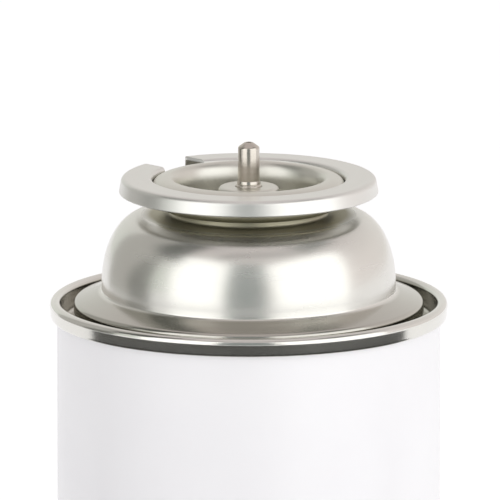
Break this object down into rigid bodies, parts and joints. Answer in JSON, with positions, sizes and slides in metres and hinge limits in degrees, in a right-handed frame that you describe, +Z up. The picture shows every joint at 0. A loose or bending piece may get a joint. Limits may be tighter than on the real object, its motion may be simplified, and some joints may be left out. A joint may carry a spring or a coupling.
{
  "type": "fuel canister",
  "caption": "Straight steel fuel canister with double seams, a domed tinplate top, a notched guide collar and a push-down valve stem.",
  "frame": {"origin": "on the ground plane, on the can's axis", "axes": "+Z up along the can's axis towards the valve stem, +Y through the middle of the collar's notch"},
  "size_m": [0.0684, 0.0684, 0.1853],
  "materials": {
    "white_lacquer": "gloss white lacquer on steel",
    "tinplate": "bright drawn tinplate",
    "matt_tinplate": "satin tinplate",
    "nickel_plate": "bright nickel plate",
    "black_rubber": "matt moulded rubber",
    "spring_steel": "drawn spring wire",
    "pale_plastic": "natural moulded plastic"
  },
  "bodies": {
    "root": {"can_body": "white_lacquer", "top_end": "tinplate", "bottom_end": "tinplate", "guide_collar": "matt_tinplate", "valve_cup": "tinplate", "cup_gasket": "black_rubber", "stem_gasket": "black_rubber", "stem_spring": "spring_steel", "valve_housing": "pale_plastic", "vapour_tube": "pale_plastic"},
    "valve_stem": {"stem": "nickel_plate"}
  },
  "joints": [
    {"name": "stem_press", "type": "slide", "parent": "root", "child": "valve_stem", "axis": [0, 0, -1], "range_m": [0, 0.002], "stiffness_N_per_m": 3000, "springref_m": -0.002, "deforming": ["stem_spring"]}
  ]
}
